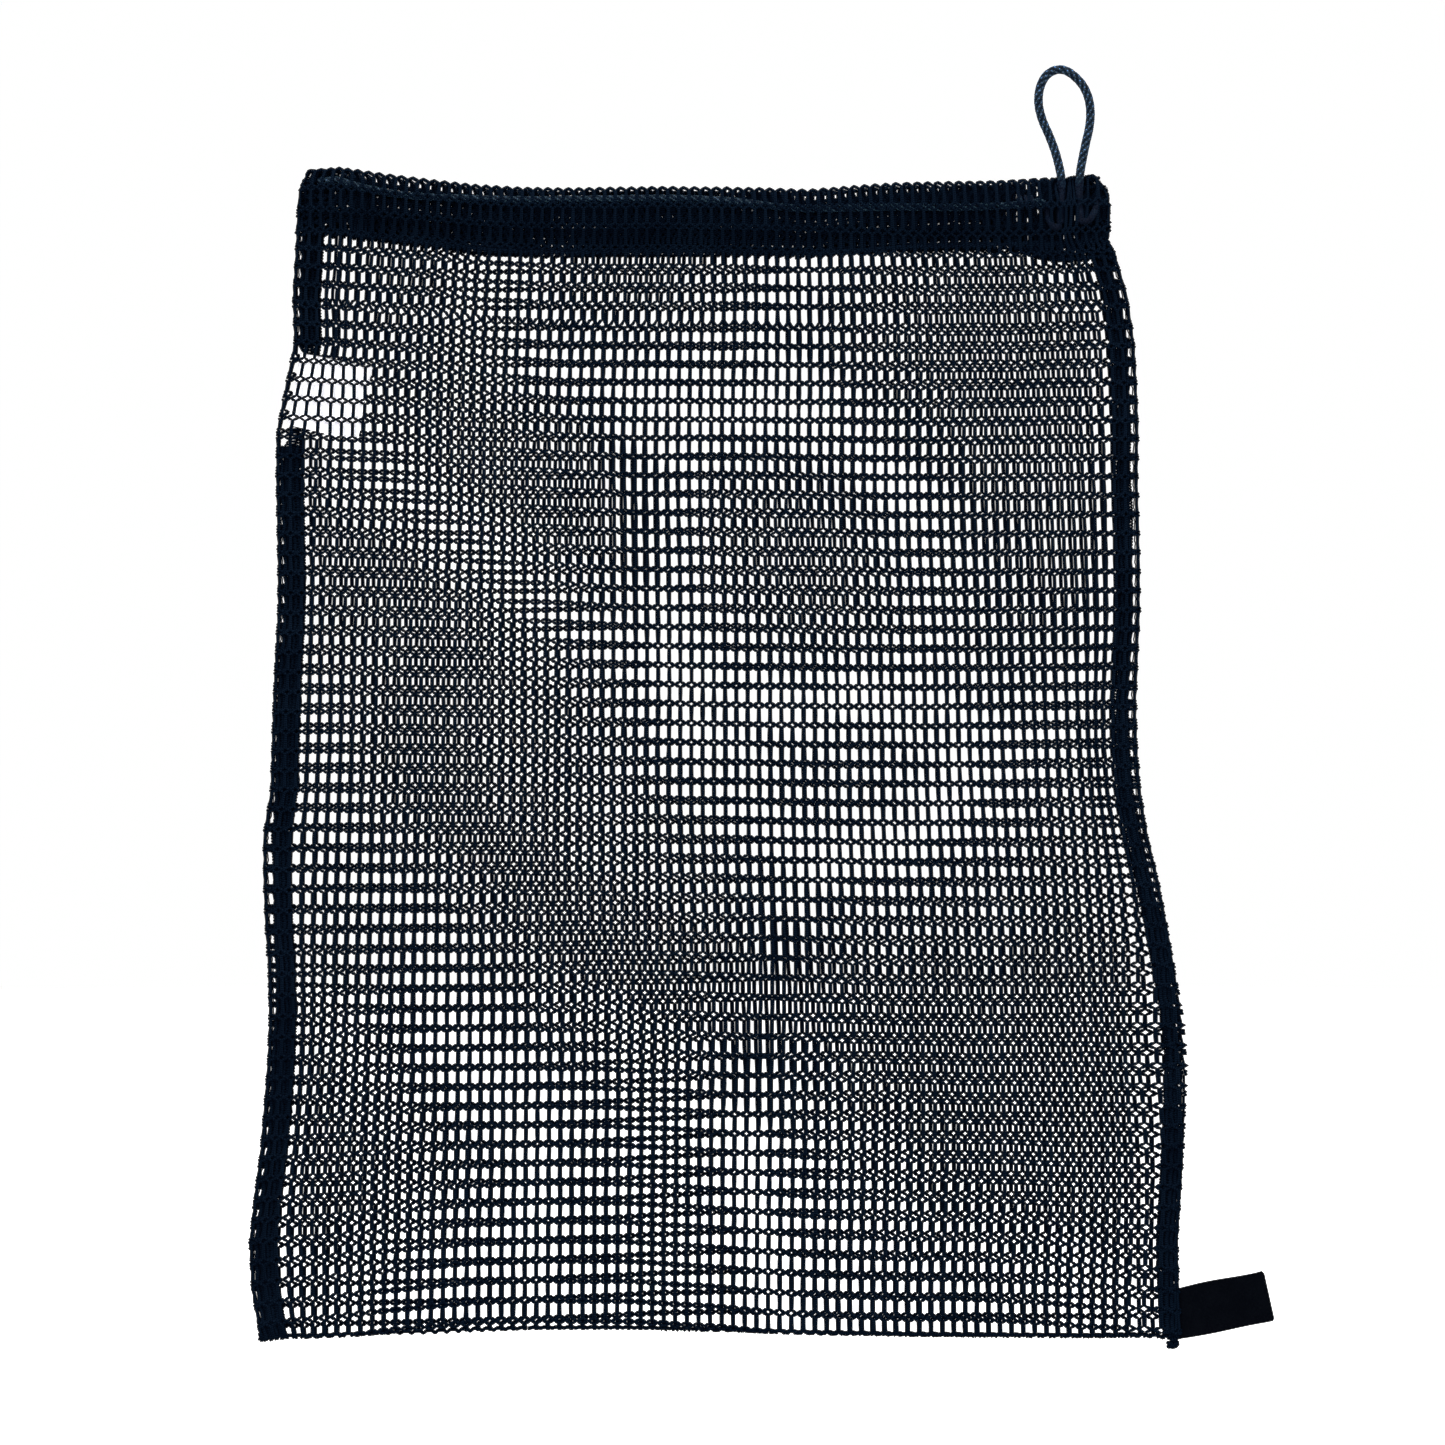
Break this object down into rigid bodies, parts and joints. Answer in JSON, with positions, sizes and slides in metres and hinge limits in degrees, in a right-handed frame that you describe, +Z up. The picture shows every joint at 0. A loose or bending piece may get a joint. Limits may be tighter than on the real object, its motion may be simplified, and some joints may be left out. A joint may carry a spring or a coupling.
{
  "type": "mesh laundry bag",
  "caption": "Flat drawstring laundry bag of open navy warp-knit mesh, with a folded bottom, seamed sides, a hemmed mouth, a braided cord loop, a ribbon tag and a blank inner label.",
  "frame": {"origin": "middle of the underside of the bottom fold", "axes": "+Z up the bag from the bottom fold to the mouth, +X to the right seen from the front, -Y out of the front face"},
  "size_m": [0.5384, 0.0228, 0.6727],
  "materials": {
    "mesh_knit": "open warp-knit polyester mesh with tall hexagonal holes, dark navy, slight sheen",
    "sewing_thread": "spun polyester sewing thread, dark navy",
    "braided_cord": "round braided cord, navy with paler blue flecks",
    "woven_ribbon": "ribbed woven ribbon, black, matt",
    "satin_label": "white satin label tape, blank"
  },
  "bodies": {
    "bag": {"back_panel": "mesh_knit", "bottom_fold": "mesh_knit", "back_hem": "mesh_knit", "back_hem_stitching": "sewing_thread", "cord_back_run": "braided_cord"},
    "mouth_front": {"front_panel": "mesh_knit", "front_hem": "mesh_knit", "front_hem_stitching": "sewing_thread", "cord_front_run": "braided_cord", "cord_knot": "braided_cord"},
    "left_side": {"left_seam_allowance": "mesh_knit", "left_overlock_thread": "sewing_thread", "left_seam_stitching": "sewing_thread", "left_thread_tail": "sewing_thread"},
    "right_side": {"right_seam_allowance": "mesh_knit", "right_overlock_thread": "sewing_thread", "right_seam_stitching": "sewing_thread", "right_thread_tail": "sewing_thread"},
    "drawcord_loop": {"cord_loop": "braided_cord"},
    "ribbon_tag": {"id_tag": "woven_ribbon"},
    "label_flap": {"care_label": "satin_label"}
  },
  "joints": [
    {"name": "mouth_open", "type": "hinge", "parent": "bag", "child": "mouth_front", "pos_m": [0, -0.0016, 0.002], "axis": [1, 0, 0], "range_deg": [0, 3.5]},
    {"name": "left_gather", "type": "hinge", "parent": "bag", "child": "left_side", "pos_m": [-0.2385, 0, 0], "axis": [0, 1, 0], "range_deg": [0, 4]},
    {"name": "right_gather", "type": "hinge", "parent": "bag", "child": "right_side", "pos_m": [0.2418, 0, 0], "axis": [0, -1, 0], "range_deg": [0, 4]},
    {"name": "cord_pull", "type": "slide", "parent": "right_side", "child": "drawcord_loop", "axis": [0, 0, 1], "range_m": [0, 0.08]},
    {"name": "tag_swing", "type": "hinge", "parent": "right_side", "child": "ribbon_tag", "pos_m": [0.244, 0, 0.012], "axis": [0, 0, 1], "range_deg": [-110, 110]},
    {"name": "label_swing", "type": "hinge", "parent": "left_side", "child": "label_flap", "pos_m": [-0.2268, -0.00145, 0.4786], "axis": [0.186, 0, 0.9826], "range_deg": [-1.5, 2]}
  ],
  "couplings": [
    {"joint": "left_gather", "follows": "cord_pull", "rad_per_m": 0.83},
    {"joint": "right_gather", "follows": "cord_pull", "rad_per_m": 0.83}
  ]
}
